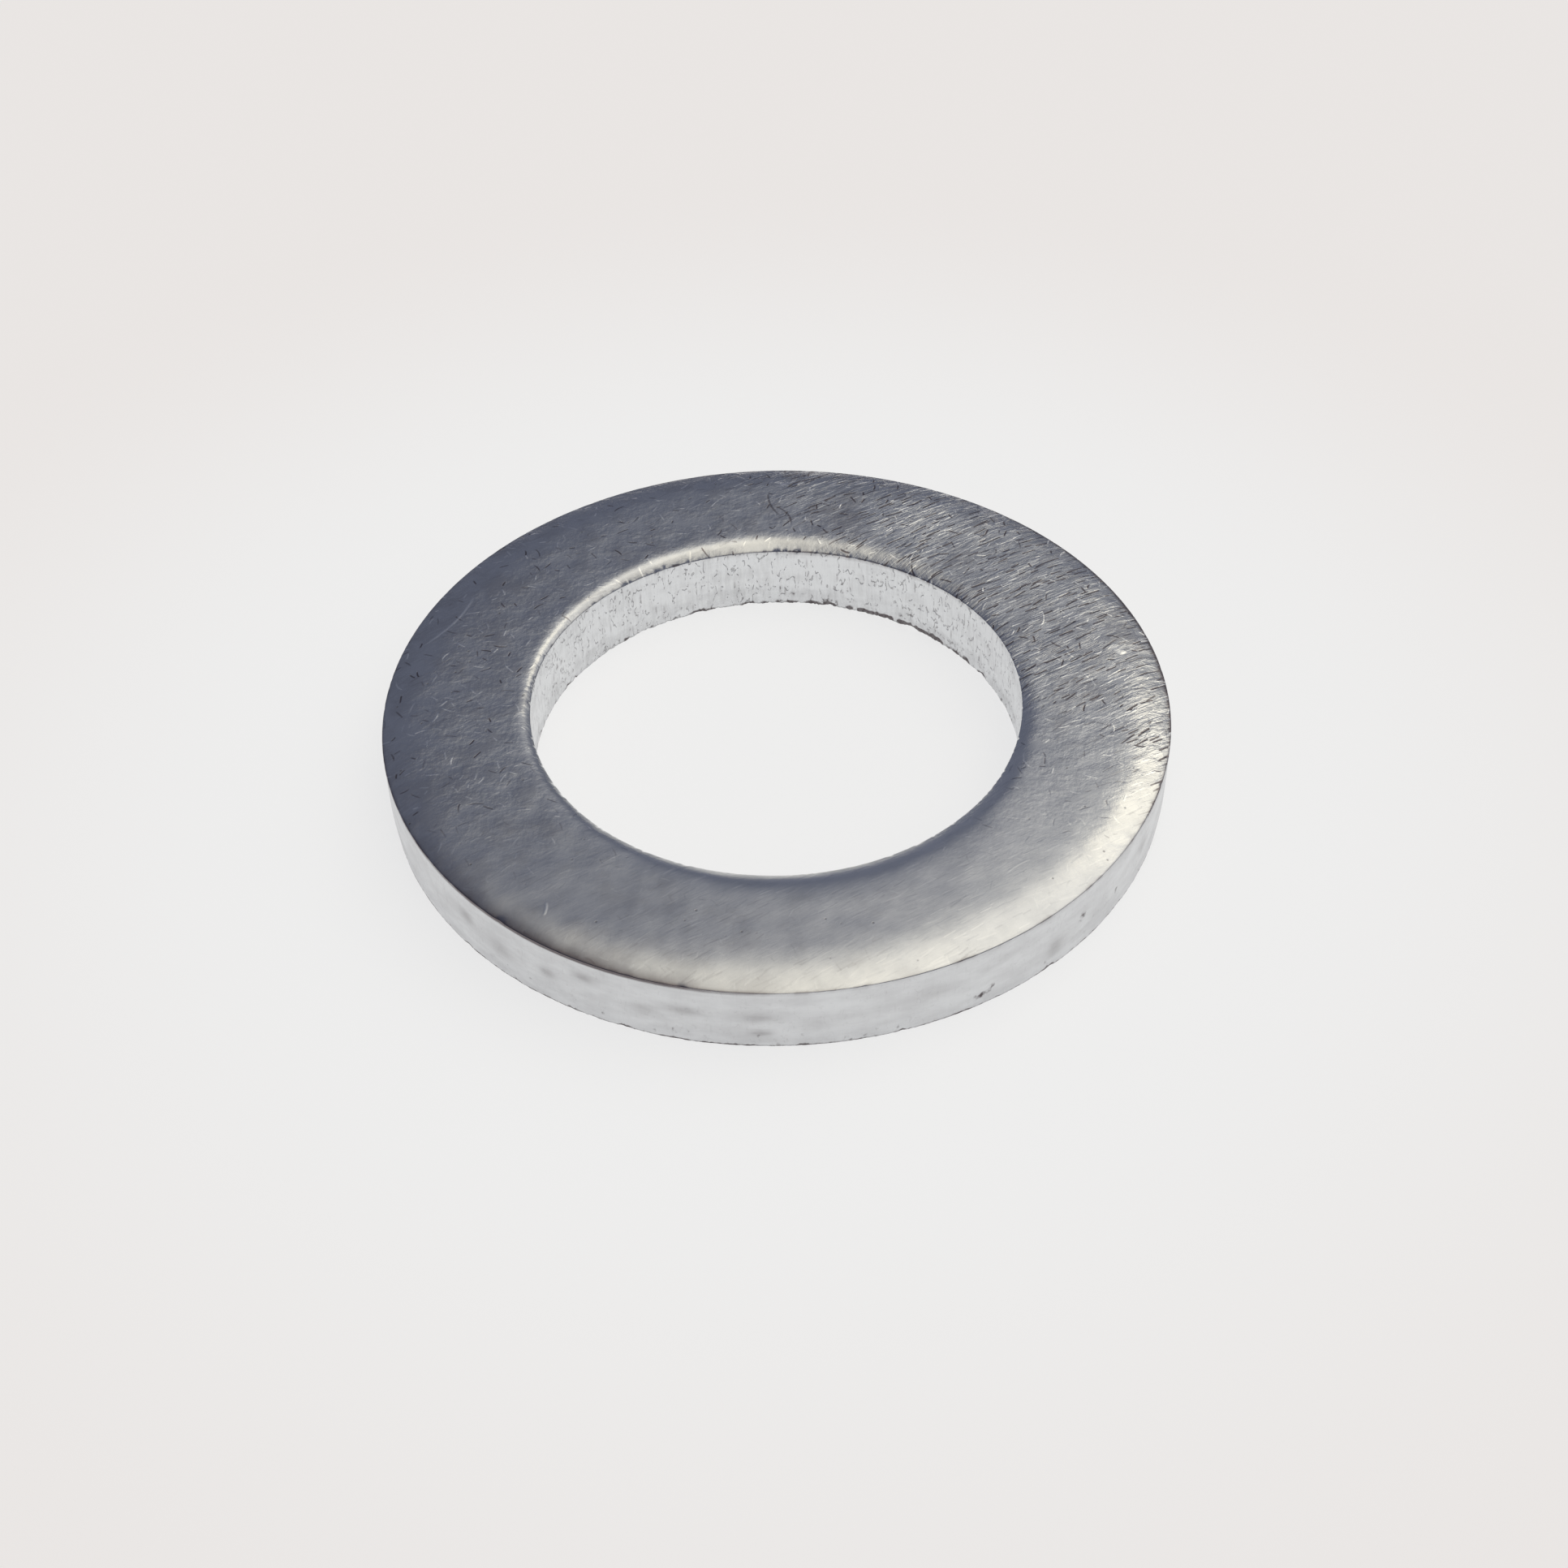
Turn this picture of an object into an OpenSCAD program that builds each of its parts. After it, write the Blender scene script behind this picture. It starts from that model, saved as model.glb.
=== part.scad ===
// Flat washer stamped from aluminium sheet, for an M14 screw.
// Millimetres, +Z up. The origin is the centre of the bottom face, on the axis of the bore.
// The press left a die roll round both rims of the top face: the face bends over and slopes down to the
// wall. Below it is the smooth sheared wall, and at its foot a fracture zone, drawn slightly in.

/* [Washer] */
// Outside diameter
outer_d = 24; // [22:0.5:36]
// Diameter of the bore, with clearance for the screw
bore_d = 15; // [8:0.5:16]
// Thickness of the sheet
thickness = 2.5; // [1.5:0.1:4]

/* [Die roll at the outer rim] */
// How far the top face has dropped where it meets the wall
outer_roll_drop = 0.24; // [0.1:0.02:0.4]
// Slope of the roll where it meets the wall, in degrees from the face
outer_roll_slope = 15; // [12:1:20]
// Radius of the bend between the flat face and the slope
outer_roll_bend = 3.2; // [0.5:0.1:4]

/* [Die roll at the bore] */
// How far the top face has dropped where it meets the wall
bore_roll_drop = 0.24; // [0.1:0.02:0.4]
// Slope of the roll where it meets the wall, in degrees from the face
bore_roll_slope = 32; // [24:1:38]
// Radius of the bend between the flat face and the slope
bore_roll_bend = 0.35; // [0.2:0.05:0.8]

/* [Fracture zone] */
// Height of the fracture zone above the bottom face
fracture_h = 0.6; // [0.2:0.1:0.9]
// How far the wall draws back into the metal at the bottom face
fracture_relief = 0.05; // [0.02:0.01:0.1]

/* [Hidden] */
$fn = 180;

outer_r = outer_d / 2;
bore_r = bore_d / 2;
aluminium = [0.66, 0.68, 0.70];
// Reach of a cut past the faces that it opens
cut_past = 0.5;
// How deep the slope of a roll cuts into the circle of its bend, so that the two cross cleanly
bite = 0.001;

// Width of a die roll along the radius, from the wall to the start of its bend
function roll_width(drop, slope, bend) =
    drop / tan(slope) + bend * tan(slope / 2) - bite / sin(slope);

// Waste of one die roll. The rim's square corner is at the origin, the face runs towards -X and the
// wall towards -Y. The polygon takes all above the slope, and the circle gives the bend back.
module roll_waste(drop, slope, bend) {
    bend_centre = [-roll_width(drop, slope, bend), -bend];
    slope_start = bend_centre + (bend - bite) * [sin(slope), cos(slope)];
    difference() {
        polygon([
            [bend_centre.x, 0],
            slope_start,
            [cut_past, -drop - cut_past * tan(slope)],
            [cut_past, cut_past],
            [bend_centre.x, cut_past]
        ]);
        translate(bend_centre)
            circle(r = bend);
    }
}

// Section through the ring, with the radius along X and the height along Y
module ring_section() {
    difference() {
        polygon([
            [bore_r + fracture_relief, 0],
            [outer_r - fracture_relief, 0],
            [outer_r, fracture_h],
            [outer_r, thickness],
            [bore_r, thickness],
            [bore_r, fracture_h]
        ]);
        translate([outer_r, thickness])
            roll_waste(outer_roll_drop, outer_roll_slope, outer_roll_bend);
        translate([bore_r, thickness])
            mirror([1, 0])
                roll_waste(bore_roll_drop, bore_roll_slope, bore_roll_bend);
    }
}

// The whole washer: one stamped blank
module washer() {
    color(aluminium)
        rotate_extrude()
            ring_section();
}

washer();
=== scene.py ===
# %% [markdown]
# # A stamped aluminium washer
#
# A flat washer is one piece of metal: punched from a sheet in a single stroke, tumbled, and tipped into a
# box. Nothing on it is assembled, so all that makes it look real is what the press and the box left
# behind. The punch bends both rims of the top face over, polishes the walls as it shears them, and tears
# the last of the metal off at the foot. The sheet keeps the grain of the rolling mill, and other washers
# scratch it. This lesson lathes a fine mesh, tears and dents it as the press does, and gives it one
# finish for the faces and one for the walls. Lengths are in metres unless a name ends in _mm.

# %% Load the CAD frame
import math

import bpy
import numpy as np
from mathutils import Matrix, Vector


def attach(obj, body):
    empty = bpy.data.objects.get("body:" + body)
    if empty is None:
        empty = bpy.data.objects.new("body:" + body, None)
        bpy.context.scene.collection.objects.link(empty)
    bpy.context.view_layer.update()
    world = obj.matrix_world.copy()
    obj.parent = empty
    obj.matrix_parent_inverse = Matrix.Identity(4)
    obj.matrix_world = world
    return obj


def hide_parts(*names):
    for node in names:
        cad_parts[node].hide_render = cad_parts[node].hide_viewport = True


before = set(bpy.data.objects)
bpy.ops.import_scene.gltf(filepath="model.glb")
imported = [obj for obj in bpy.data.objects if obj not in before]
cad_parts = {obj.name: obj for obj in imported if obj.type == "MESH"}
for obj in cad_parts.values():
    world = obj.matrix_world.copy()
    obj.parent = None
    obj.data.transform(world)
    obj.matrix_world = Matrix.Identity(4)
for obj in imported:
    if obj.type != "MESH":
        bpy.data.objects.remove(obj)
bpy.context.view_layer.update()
MM = 0.001

# %% [markdown]
# ## The sizes, read from the CAD
#
# The lathed mesh has to keep the CAD's sizes to the last digit. They could be typed in again, but then
# the two models could drift apart. Instead the CAD's own vertices are turned into a list of rings, each
# with a radius and a height, and every size below is looked up among them.

# %% Measure the washer
NEAR = 0.001 * MM
places = np.array([vertex.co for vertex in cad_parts["washer"].data.vertices])
radii = np.hypot(places[:, 0], places[:, 1])
heights = places[:, 2]

outer_r = radii.max()
bore_r = radii.min()
top = heights.max()
bottom = heights.min()
on_top = radii[heights > top - NEAR]
on_bottom = radii[heights < bottom + NEAR]
on_outer_wall = heights[radii > outer_r - NEAR]
on_bore_wall = heights[radii < bore_r + NEAR]
mean_r = (outer_r + bore_r) / 2
print("outer radius, bore radius, height in mm:", [round(size / MM, 3) for size in (outer_r, bore_r, top)])
print("flat top from", round(on_top.min() / MM, 3), "to", round(on_top.max() / MM, 3), "mm")
print("outer wall from", round(on_outer_wall.min() / MM, 3), "to", round(on_outer_wall.max() / MM, 3), "mm")

# %% [markdown]
# ## The camera
#
# A washer this small is looked at from a hand's breadth away, and that shows: the near rim is much
# larger than the far one. A longer lens from further off would frame it the same and look wrong, so the
# distance matters as much as the lens. Both the distance and the aim are given in outer radii, which
# keeps the view the same for a washer of another size.

# %% Place the camera
CAMERA_ELEVATION = math.radians(42.35)
CAMERA_DISTANCE = 6.156 * outer_r
CAMERA_ROLL = math.radians(1.16)
AIM = Vector((0.0155, -0.1131, 0.0)) * outer_r
LENS_MM = 54.23

camera_data = bpy.data.cameras.new("camera")
camera = bpy.data.objects.new("camera", camera_data)
bpy.context.scene.collection.objects.link(camera)
camera.location = CAMERA_DISTANCE * Vector((0.0, -math.cos(CAMERA_ELEVATION), math.sin(CAMERA_ELEVATION)))
looking = (AIM - camera.location).to_track_quat("-Z", "Y")
camera.rotation_mode = "QUATERNION"
camera.rotation_quaternion = looking @ Matrix.Rotation(-CAMERA_ROLL, 3, "Z").to_quaternion()
camera_data.lens = LENS_MM
camera_data.clip_start = 0.1 * outer_r
camera_data.clip_end = 1000 * outer_r
bpy.context.scene.camera = camera
print("the camera is", round(camera.location.length / MM, 1), "mm from the washer")

# %% [markdown]
# ## The section through the ring
#
# Cut the washer across and the section is nearly a rectangle. Its top corners are die rolls, where the
# face slopes down to the wall: steadily beside the wall, then less and less until it runs out in the
# flat. Its bottom corners are the fracture zones, which lean a little into the metal. A bevel modifier on
# a plain tube can't make corners of two different shapes, so the section is drawn point by point and
# turned on a lathe, as a turner would cut it. The points run up the outer wall, over the top, down the
# bore and back underneath.

# %% Helpers for straight lines and rounded corners
def line_points(start, end, steps):
    """Evenly spaced points from start to end, both included."""
    start, end = np.array(start), np.array(end)
    return [tuple(start + (end - start) * share) for share in np.linspace(0, 1, steps + 1)]


def round_points(before, corner, after, steps):
    """A smooth curve from before to after that turns inside the corner, both ends included."""
    before, corner, after = np.array(before), np.array(corner), np.array(after)
    shares = np.linspace(0, 1, steps + 1)
    return [tuple((1 - s) ** 2 * before + 2 * s * (1 - s) * corner + s ** 2 * after) for s in shares]


# %% The shape of a die roll
SHOULDER = 0.60  # where the slope begins to fade, as a share of the roll's width
SOFTNESS = 0.23  # how gently it fades, in the same measure
FADED = 2.2  # where nothing is left of it
CREST = 0.4  # the two rolls meet here, as a share of the way from the bore to the outer wall

outer_roll_width = outer_r - on_top.max()
bore_roll_width = on_top.min() - bore_r
outer_drop = top - on_outer_wall.max()
bore_drop = top - on_bore_wall.max()
crest_r = bore_r + CREST * (outer_r - bore_r)


def roll(from_wall, width):
    """How much of a die roll's drop is left at a distance from the wall: a slope that fades into the face."""
    shoulder = SHOULDER * width
    softness = SOFTNESS * width
    left = np.log1p(np.exp((shoulder - from_wall) / softness)) / np.log1p(np.exp(shoulder / softness))
    return left * np.clip((FADED * width - from_wall) / width, 0, 1)


def face_height(radius, outer_share=1.0, bore_share=1.0, outer_wider=1.0, bore_wider=1.0):
    """Height of the top face at a radius, with both die rolls taken off."""
    outer_part = roll(outer_r - radius, outer_roll_width * outer_wider)
    bore_part = roll(radius - bore_r, bore_roll_width * bore_wider)
    return top - outer_drop * outer_share * outer_part - bore_drop * bore_share * bore_part


drops = [round(drop / MM, 3) for drop in (outer_drop, bore_drop)]
print("the rolls drop, outside and in the bore, by", drops, "mm")

# %% Draw the section
ARRIS_WIDTH = 0.03 * MM
DENSER_AT_WALL = 1.8


def soft_arris(wall_r, side):
    """The few points that take the edge off an arris: from the wall below it to the face beside it."""
    arris = (wall_r, face_height(wall_r))
    beside = wall_r + side * ARRIS_WIDTH
    return round_points((wall_r, arris[1] - ARRIS_WIDTH), arris, (beside, face_height(beside)), 4)


def roll_points(start_r, end_r, steps):
    """Points on the top face from start_r, next to the wall, to end_r, closer together near the wall."""
    shares = np.linspace(0, 1, steps + 1) ** DENSER_AT_WALL
    return [(radius, face_height(radius)) for radius in start_r + shares * (end_r - start_r)]


foot_outer = (on_bottom.max(), bottom)
foot_bore = (on_bottom.min(), bottom)
break_outer = (outer_r, on_outer_wall.min())
break_bore = (bore_r, on_bore_wall.min())
edge_outer = soft_arris(outer_r, -1)
edge_bore = soft_arris(bore_r, 1)[::-1]

zones = {
    "outer_foot": line_points(foot_outer, break_outer, 8),
    "outer_wall": line_points(break_outer, edge_outer[0], 15),
    "outer_edge": edge_outer,
    "outer_roll": roll_points(edge_outer[-1][0], crest_r, 14),
    "bore_roll": roll_points(edge_bore[0][0], crest_r, 12)[::-1],
    "bore_edge": edge_bore,
    "bore_wall": line_points(edge_bore[-1], break_bore, 13),
    "bore_foot": line_points(break_bore, foot_bore, 8),
    "under_face": line_points(foot_bore, foot_outer, 6),
}
section = np.array([point for points in zones.values() for point in points[:-1]])
zone_of = [name for name, points in zones.items() for _ in points[:-1]]
steps_to_next = np.linalg.norm(np.roll(section, -1, axis=0) - section, axis=1)
path = np.concatenate([[0], np.cumsum(steps_to_next)])
girth = path[-1]
print("the section has", len(section), "points and is", round(girth / MM, 2), "mm round")

# %% [markdown]
# ## Wear that the lathe can carve
#
# Real wear has a size in both directions: a score from the punch is thin and tall, a torn crumb at the
# foot is as wide as it is high. So the noise here takes two lengths, one round the ring and one along
# the section. It starts as plain random numbers and is smoothed in both directions. Round the ring the
# smoothing is done on its waves, which closes the ring without a seam.

# %% Noise on the ring
MOST_TRIANGLES = 199_000
STRIPS_SHARE = 6

count = len(section)
around = MOST_TRIANGLES // (2 * count) // STRIPS_SHARE * STRIPS_SHARE
turns = np.linspace(0, 2 * math.pi, around, endpoint=False)


def ring_noise(seed, across_ring, along_section):
    """Random values over the mesh with a spread of 1, smooth over the two given lengths."""
    noise = np.random.default_rng(seed).standard_normal((around, count))
    waves = np.arange(around // 2 + 1)[:, None]
    spectrum = np.fft.rfft(noise, axis=0) * np.exp(-0.5 * (waves * across_ring / section[:, 0]) ** 2)
    noise = np.fft.irfft(spectrum, around, axis=0)
    gap = np.abs(path[:-1, None] - path[None, :-1])
    gap = np.minimum(gap, girth - gap)
    weights = np.exp(-0.5 * (gap / along_section) ** 2)
    noise = noise @ weights
    return noise / noise.std(axis=0)


def fade(distance, reach):
    """1 at no distance, falling smoothly to nearly 0 at the reach."""
    return np.exp(-3 * (distance / reach) ** 2)


def spot(angle, path_place, half_width, half_height):
    """A soft bump of height 1 on the ring, at an angle in degrees and a place along the section."""
    turn = (turns - math.radians(angle) + math.pi) % (2 * math.pi) - math.pi
    sideways = turn[:, None] * section[None, :, 0] / half_width
    lengthways = (path[None, :-1] - path_place) / half_height
    return np.exp(-sideways ** 2 - lengthways ** 2)


print("the ring has", around, "sections, so", 2 * around * count, "triangles")

# %% [markdown]
# ## The walls: scored by the punch, torn at the foot
#
# The punch drags each wall down as it cuts, which leaves fine upright scores, a few hundredths of a
# millimetre wide. At the foot the metal tears, so the last half millimetre or so is rough and its lower
# edge is ragged, worse in the bore than outside. A displacement modifier could do this from a texture, but
# here the numbers are also kept as vertex values, so that the finish can darken exactly what is torn.

# %% Score and tear the walls
def path_at(name, share=0.0):
    """Place along the section: the start of a zone, or a share of the way through it."""
    first = zone_of.index(name)
    last = first + zone_of.count(name)
    return path[first] + share * (path[last] - path[first])


def zone_mask(*names):
    """1 at the section's points that belong to the named zones."""
    return np.array([float(name in names) for name in zone_of])


OUTER_SCORE = 0.0012 * MM
BORE_SCORE = 0.0035 * MM
OUTER_CRUMB = 0.004 * MM
BORE_CRUMB = 0.009 * MM
SWELL = 0.003 * MM

foot_outer_path = path_at("outer_foot")
foot_bore_path = path_at("under_face")
from_outer_foot = np.minimum(path[:-1], girth - path[:-1])
from_bore_foot = np.abs(path[:-1] - foot_bore_path)

outer_side = zone_mask("outer_foot", "outer_wall")
bore_side = zone_mask("bore_wall", "bore_foot")
feet = zone_mask("outer_foot", "bore_foot")
scores = np.abs(ring_noise(1, 0.035 * MM, 0.9 * MM))
crumbs = np.clip(ring_noise(2, 0.05 * MM, 0.09 * MM) - 0.4, 0, 3)
swells = ring_noise(3, 0.6 * MM, 0.8 * MM)

inward = scores * (OUTER_SCORE * outer_side + BORE_SCORE * bore_side)
inward += crumbs * feet * (OUTER_CRUMB * outer_side + BORE_CRUMB * bore_side)
inward += SWELL * np.abs(swells) * (outer_side + bore_side)
print("scores and crumbs reach", round(inward.max() / MM, 3), "mm into the walls")

# %% [markdown]
# ## Rolls that are deeper on one side
#
# The blank never sits quite square under the punch, so a die roll isn't the same all the way round. Here
# the outer roll is deepest at the front and narrowest at the front left. The bore's nearly dies out on
# the right and is widest in front. Each is described as 1 plus a few soft swells, and the face, the
# arris and the wall below it all move together.

# %% Make the rolls uneven
def arc_share(angle, half_angle):
    """1 at an angle on the ring in degrees, falling smoothly to 0 a half angle away, as a column."""
    turn = np.degrees((turns - math.radians(angle) + math.pi) % (2 * math.pi) - math.pi)
    share = np.clip(1 - np.abs(turn) / half_angle, 0, 1)
    return (share * share * (3 - 2 * share))[:, None]


def swelling(base, *swells):
    """A base value with soft swells round the ring, each an angle, a half angle and an amount."""
    value = base
    for angle, half_angle, amount in swells:
        value = value + amount * arc_share(angle, half_angle)
    return value


uneven = {
    "outer_share": swelling(1.0, (285, 100, 0.15)),
    "outer_wider": swelling(1.0, (232, 50, -0.35)),
    "bore_share": swelling(1.0, (92, 40, 0.25), (165, 60, -0.40), (12, 50, -0.70), (280, 70, 0.20)),
    "bore_wider": swelling(1.0, (162, 85, -0.42), (280, 85, 0.85)),
}
on_wall = (section[:, 1] < np.minimum(edge_outer[0][1], edge_bore[-1][1]) + NEAR)
is_outer = section[:, 0] > mean_r
face_r = np.where(on_wall, np.where(is_outer, outer_r, bore_r), section[:, 0])[None, :]
lower = face_height(face_r) - face_height(face_r, **uneven)
wall_foot = np.where(is_outer, break_outer[1], break_bore[1])
wall_head = np.where(is_outer, edge_outer[0][1], edge_bore[-1][1])
downward = lower * np.clip((section[:, 1] - wall_foot) / (wall_head - wall_foot), 0, 1)
print("the arrises lie up to", round(downward.max() / MM, 3), "mm lower than an even roll would put them")

# %% [markdown]
# ## Ragged edges
#
# The lower edge of each wall is a torn burr. It is carved by lifting the edge off the table here and
# there, never by pushing it down, so the washer still stands on its flat face. The upper edge, the
# arris, is sharp and gets nicked: in the bore it is a string of tiny bites, and outside only a few.

# %% Lift the burr
def along_ring(seed, across_ring):
    """Random values round the ring only, the same along the section."""
    return ring_noise(seed, across_ring, girth)[:, :1]


OUTER_BURR = (0.009 * MM, 0.16 * MM)  # how far the edge is lifted, and how far up the wall that reaches
BORE_BURR = (0.020 * MM, 0.20 * MM)

ragged = np.abs(along_ring(4, 0.06 * MM)) + 0.8 * np.abs(along_ring(5, 0.25 * MM))
upward = OUTER_BURR[0] * ragged * fade(from_outer_foot, OUTER_BURR[1])
upward = upward + BORE_BURR[0] * ragged * fade(from_bore_foot, BORE_BURR[1])
print("the burr lifts by up to", round(upward.max() / MM, 3), "mm")

# %% Bite the arrises
OUTER_BITE = 0.004 * MM
BORE_BITE = 0.016 * MM
BITE_REACH = (0.07 * MM, 0.09 * MM)  # outside and in the bore

outer_arris_path = path_at("outer_edge", 0.5)
bore_arris_path = path_at("bore_edge", 0.5)
from_outer_arris = np.abs(path[:-1] - outer_arris_path)
from_bore_arris = np.abs(path[:-1] - bore_arris_path)
bites = np.clip(along_ring(6, 0.05 * MM) - 0.5, 0, 2.5)
inward += OUTER_BITE * bites * fade(from_outer_arris, BITE_REACH[0])
bites = bites * swelling(1.0, (275, 80, -0.85))
inward += BORE_BITE * bites * fade(from_bore_arris, BITE_REACH[1])
downward += 0.75 * BORE_BITE * bites * fade(from_bore_arris, BITE_REACH[1])
print("the bites are up to", round(BORE_BITE * bites.max() / MM, 3), "mm deep")

# %% [markdown]
# ## The marks that make it this washer
#
# Noise alone looks like any washer. A few listed marks make it one in particular: chips broken out of
# the foot, dents and grey smudges on the walls, nicks in the arrises. Each line of the lists says where
# the mark is, in degrees round the ring from +X and in millimetres, and how large and deep it is.

# %% The marks
FOOT_CHIPS = [  # wall, angle, half width mm, lift mm
    ("outer", -50.5, 0.16, 0.060),
    ("outer", -74.0, 0.10, 0.030),
    ("outer", -112.0, 0.12, 0.028),
    ("outer", -139.0, 0.10, 0.035),
    ("bore", 152.5, 0.14, 0.060),
    ("bore", 136.0, 0.12, 0.045),
    ("bore", 110.0, 0.20, 0.035),
    ("bore", 96.0, 0.12, 0.050),
    ("bore", 75.5, 0.13, 0.075),
    ("bore", 53.0, 0.32, 0.060),
    ("bore", 27.5, 0.15, 0.050),
]
WALL_DENTS = [  # wall, angle, height mm, half width mm, half height mm, depth mm, how dark
    ("outer", -44.5, 1.20, 0.20, 0.21, 0.022, 0.72),
    ("outer", -62.5, 0.43, 0.24, 0.12, 0.030, 0.72),
    ("outer", -60.8, 0.62, 0.16, 0.13, 0.020, 0.66),
    ("outer", -36.0, 0.90, 0.16, 0.16, 0.014, 0.65),
    ("bore", 76.0, 0.35, 0.05, 0.22, 0.015, 0.80),
    ("bore", 83.0, 0.45, 0.22, 0.04, 0.010, 0.50),
    ("bore", 112.0, 1.20, 0.03, 0.45, 0.012, 0.65),
    ("bore", 104.0, 1.30, 0.03, 0.40, 0.012, 0.60),
    ("bore", 71.0, 1.10, 0.03, 0.60, 0.012, 0.55),
]
WALL_SMUDGES = [  # angle, height mm, half width mm, half height mm, how dark, all on the outer wall
    (-93.0, 0.60, 0.34, 0.13, 0.42),
    (-93.5, 1.24, 0.50, 0.20, 0.32),
    (-103.0, 1.30, 0.55, 0.22, 0.30),
    (-109.0, 1.05, 0.40, 0.22, 0.26),
    (-117.0, 1.60, 0.38, 0.18, 0.36),
    (-123.0, 1.15, 0.30, 0.22, 0.32),
    (-131.0, 1.00, 0.50, 0.35, 0.22),
    (-138.0, 1.40, 0.30, 0.25, 0.30),
    (-85.0, 0.95, 0.45, 0.25, 0.14),
    (-70.0, 1.30, 0.60, 0.30, 0.12),
    (-50.0, 0.80, 0.30, 0.30, 0.24),
    (-28.0, 1.20, 0.30, 0.30, 0.24),
]
ARRIS_NICKS = [  # wall, angle, half width mm, depth mm
    ("outer", -131.0, 0.15, 0.040),
    ("outer", -103.5, 0.20, 0.030),
    ("outer", -79.0, 0.10, 0.020),
    ("outer", -20.0, 0.10, 0.020),
    ("bore", 118.0, 0.07, 0.045),
    ("bore", 89.0, 0.08, 0.050),
    ("bore", 87.0, 0.05, 0.040),
    ("bore", 38.0, 0.06, 0.080),
]
print("listed", len(FOOT_CHIPS), "chips,", len(WALL_DENTS), "dents and", len(WALL_SMUDGES), "smudges")

# %% Place the chips, dents and nicks
CHIP_HEIGHT = 0.12 * MM
NICK_HEIGHT = 0.08 * MM
# A chip is darkened with dirt and with painted shade, the shade of the gap under the lifted burr.
CHIP_DIRT_AND_SHADE = 0.9
NICK_DIRT = 0.4


def wall_place(wall, height_mm):
    """Place along the section of a height on one of the walls."""
    if wall == "outer":
        return path_at("outer_wall") + height_mm * MM - break_outer[1]
    return path_at("bore_foot") - height_mm * MM + break_bore[1]


dirt_and_shade = np.zeros((around, count))
for wall, angle, half_width, lift in FOOT_CHIPS:
    place = foot_outer_path if wall == "outer" else foot_bore_path
    chip = spot(angle, place, half_width * MM, CHIP_HEIGHT)
    if wall == "outer":  # the outer foot is both the start and the end of the section
        chip += spot(angle, girth, half_width * MM, CHIP_HEIGHT)
    upward += lift * MM * chip
    dirt_and_shade += CHIP_DIRT_AND_SHADE * chip
for wall, angle, height, half_width, half_height, depth, darkness in WALL_DENTS:
    dent = spot(angle, wall_place(wall, height), half_width * MM, half_height * MM)
    inward += depth * MM * dent
    dirt_and_shade += darkness * dent
for wall, angle, half_width, depth in ARRIS_NICKS:
    place = outer_arris_path if wall == "outer" else bore_arris_path
    nick = spot(angle, place, half_width * MM, NICK_HEIGHT)
    inward += depth * MM * nick
    downward += 0.5 * depth * MM * nick
    dirt_and_shade += NICK_DIRT * nick
print("dirt covers", round(100 * float((dirt_and_shade > 0.3).mean()), 1), "% of the vertices")

# %% [markdown]
# ## Vertex values for the finish
#
# Four numbers are kept on every vertex. The first says how dark the metal is made by dirt, oxide and
# painted shade: dirt and oxide in the tears along the ragged foot, in the dents and, thinly, on the
# arrises, and painted contact shade along the feet and under the chips, where they meet the table.
# Fracture says where the burnished wall has given way to torn metal, with a wandering border. Edge marks
# the arrises themselves, with dark lines and, inside the outer arris on the right, a band of painted
# shade. The last says how much paler or darker the metal is painted: soft patches on the faces, smudges
# on the outer wall, and bands along the die rolls that are painted highlight and shade, paler where a
# roll mirrors bright light and darker where it mirrors dim light. They could be painted in a texture, but
# values worked out from the same numbers as the shape always lie exactly on it.

# %% Torn metal and its border
OUTER_REACH = 0.11 * MM  # how far up each wall the dirt and painted contact shade of the torn foot reach
BORE_REACH = swelling(0.17, (60, 45, 0.12)) * MM
BORDER_HEIGHT = 0.62 * MM
BORDER_BLUR = 0.12 * MM

patchy = np.clip(0.55 + 0.45 * along_ring(7, 0.10 * MM) + 0.35 * along_ring(8, 0.7 * MM), 0, 1.5)
bore_heavy = swelling(0.80, (60, 45, 1.6))
# Along both feet this is dirt in the tears and painted contact shade where the foot meets the table.
torn_dirt_and_shade = dirt_and_shade + np.clip(1.1 * patchy, 0.65, 1.5) * fade(from_outer_foot, OUTER_REACH)
torn_dirt_and_shade += bore_heavy * patchy * fade(from_bore_foot, BORE_REACH)
torn_dirt_and_shade += 0.22 * crumbs * feet

wander = 0.10 * along_ring(9, 0.5 * MM) + 0.04 * along_ring(10, 0.12 * MM)
border = BORDER_HEIGHT + wander * MM
height_here = np.broadcast_to(section[:, 1], (around, count))
fracture = np.clip((border - height_here) / BORDER_BLUR + 0.5, 0, 1) * (outer_side + bore_side)
print("torn metal covers", round(100 * float((torn_dirt_and_shade > 0.5).mean()), 1), "% of the vertices")

# %% Dark lines along the arrises
OUTER_LINE = 0.08 * MM  # how far each line reaches from its arris
OUTER_SHADE = 0.20 * MM
BORE_LINE = 0.07 * MM

outer_heavy = swelling(0.75, (5, 60, 0.5))
edge = outer_heavy * np.clip(patchy, 0.45, 1) * fade(from_outer_arris, OUTER_LINE)
# a wider band of painted shade inside the outer arris, on the right
edge += swelling(0.0, (12, 55, 1.5)) * fade(from_outer_arris, OUTER_SHADE)
bore_dark = swelling(0.05, (68, 62, 1.05)) * (0.6 + 0.5 * bites + 0.3 * patchy)
edge += np.clip(bore_dark, 0, 1.2) * fade(from_bore_arris, BORE_LINE)
print("edge values reach", round(float(edge.max()), 2))

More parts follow.
